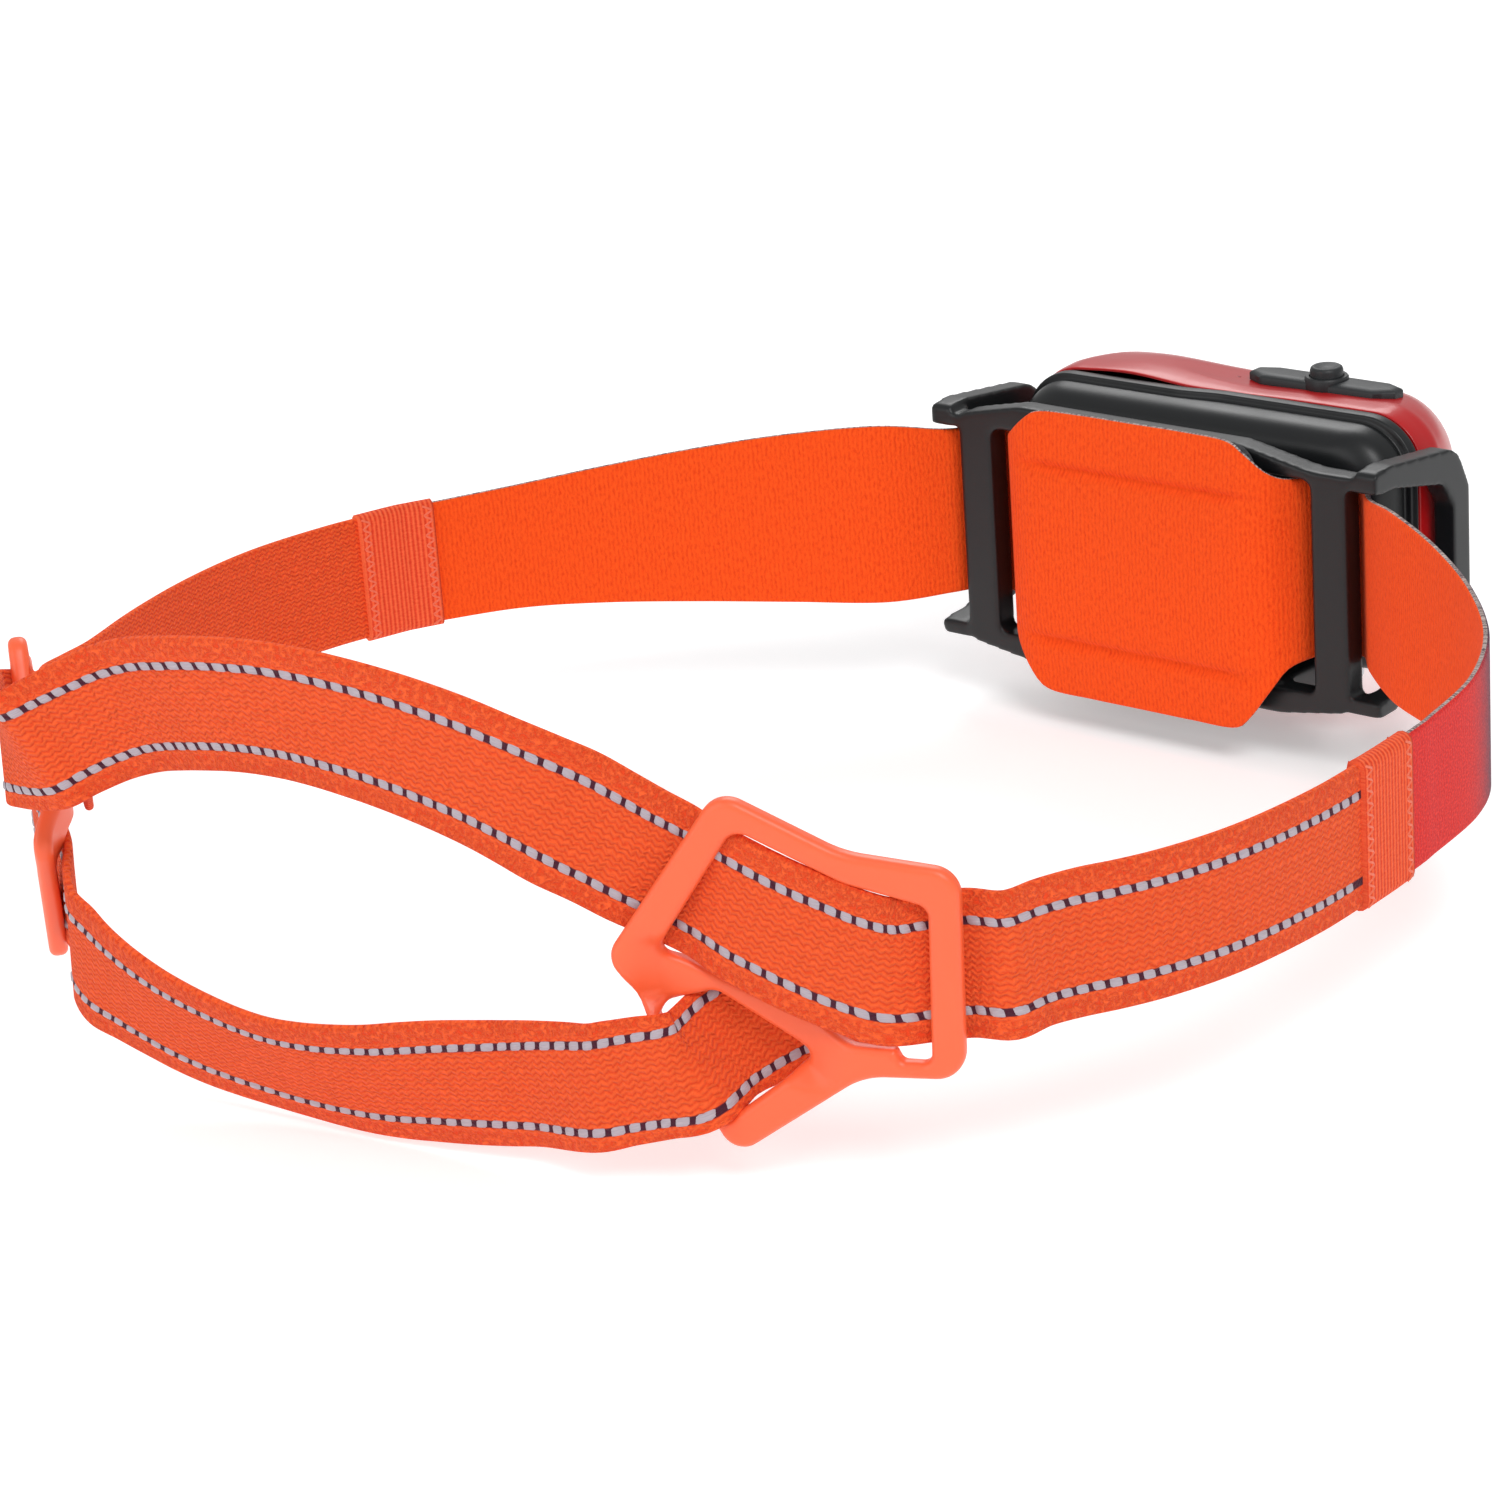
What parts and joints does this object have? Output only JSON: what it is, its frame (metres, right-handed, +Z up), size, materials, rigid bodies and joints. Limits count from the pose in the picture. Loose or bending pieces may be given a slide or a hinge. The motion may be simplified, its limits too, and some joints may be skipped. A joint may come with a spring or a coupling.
{
  "type": "headlamp",
  "caption": "Rechargeable headlamp: a tilting lamp on a webbing frame, a wide knit forehead band and two elastic rear straps that split and meet at ring sliders.",
  "frame": {"origin": "middle of the forehead pad's flat head-side face", "axes": "+Y from the pad towards the back of the head, -Y along the beam, +Z up, +X to the wearer's left"},
  "size_m": [0.1883, 0.2175, 0.0665],
  "materials": {
    "red_shell_plastic": "glossy tinted polycarbonate",
    "black_plastic": "satin moulded",
    "dark_rubber": "matte soft-touch",
    "clear_plastic": "clear polycarbonate",
    "reflector_black": "semi-gloss black",
    "led_white": "phosphor-coated diode",
    "board_green": "solder-masked board",
    "heat_sink_metal": "plain stamped",
    "steel": "plain",
    "brass": "gold-plated contact",
    "cell_wrap": "shrink wrap",
    "orange_knit": "brushed elastic jersey",
    "orange_webbing": "elastic webbing with two rows of pale dashes",
    "slider_plastic": "satin moulded",
    "grey_foam": "spacer foam"
  },
  "bodies": {
    "headband": {"mounting_frame": "black_plastic", "hinge_pin_left": "steel", "hinge_pin_right": "steel", "hinge_washer_left": "steel", "hinge_washer_right": "steel", "front_band": "orange_knit", "pad_foam": "grey_foam", "right_strap": "orange_webbing", "left_strap": "orange_webbing"},
    "lamp": {"front_shell": "red_shell_plastic", "gauge_light_pipe": "clear_plastic", "lens_window": "clear_plastic", "bezel": "reflector_black", "spot_lens": "clear_plastic", "flood_lens": "clear_plastic", "spot_led": "led_white", "flood_led": "led_white", "led_board": "board_green", "heat_sink": "heat_sink_metal", "board_screw_left": "steel", "board_screw_right": "steel", "light_sensor": "reflector_black", "control_board": "board_green", "tactile_switch": "steel", "button_bar": "dark_rubber", "battery_case": "black_plastic", "battery_lid": "black_plastic", "battery_cell": "cell_wrap", "seal_ring": "dark_rubber", "contact_pad_positive": "brass", "contact_pad_negative": "brass", "contact_spring_positive": "brass", "contact_spring_negative": "brass", "usb_port": "steel"},
    "button": {"power_button": "dark_rubber"},
    "port_flap": {"usb_cover": "dark_rubber"},
    "right_slider_ring": {"right_slider": "slider_plastic", "left_strap_loop": "orange_webbing"},
    "left_slider_ring": {"left_slider": "slider_plastic", "right_strap_loop": "orange_webbing"}
  },
  "joints": [
    {"name": "lamp_tilt", "type": "hinge", "parent": "headband", "child": "lamp", "pos_m": [0, -0.0184, -0.0194], "axis": [1, 0, 0], "range_deg": [0, 60]},
    {"name": "button_press", "type": "slide", "parent": "lamp", "child": "button", "axis": [0, 0, -1], "range_m": [0, 0.001], "stiffness_N_per_m": 500, "springref_m": -0.001},
    {"name": "port_flap_swing", "type": "hinge", "parent": "lamp", "child": "port_flap", "pos_m": [0.0349, -0.02005, 0.0071], "axis": [0, -1, 0], "range_deg": [0, 100]},
    {"name": "right_slider_adjust", "type": "slide", "parent": "headband", "child": "right_slider_ring", "axis": [-0.8411, -0.3566, -0.4067], "range_m": [0, 0.006]},
    {"name": "left_slider_adjust", "type": "slide", "parent": "headband", "child": "left_slider_ring", "axis": [0.7035, -0.5828, 0.4067], "range_m": [0, 0.006]}
  ]
}
